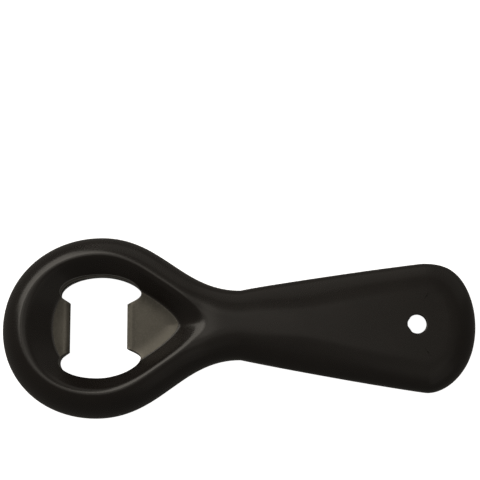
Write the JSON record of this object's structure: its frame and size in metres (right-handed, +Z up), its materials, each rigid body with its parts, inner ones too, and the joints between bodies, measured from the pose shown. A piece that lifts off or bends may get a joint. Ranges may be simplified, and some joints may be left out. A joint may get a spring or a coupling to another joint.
{
  "type": "bottle opener",
  "caption": "Hand-held crown cap opener: a ring head round a steel plate with two lips, a waisted neck and a flared handle with a hanging hole.",
  "frame": {"origin": "centre of the bounding box's bottom, on the surface that the opener rests on", "axes": "+X along the length from the head to the handle's end, +Y across, +Z up through the thickness, out of the front"},
  "size_m": [0.15, 0.0576, 0.02],
  "materials": {
    "black_steel": "black finished steel with a fine matt grain",
    "core_nylon": "moulded glass-filled nylon, hidden",
    "satin_skin": "satin black firm skin"
  },
  "bodies": {
    "root": {"opener_plate": "black_steel", "handle_core": "core_nylon", "grip_skin": "satin_skin"}
  },
  "joints": []
}
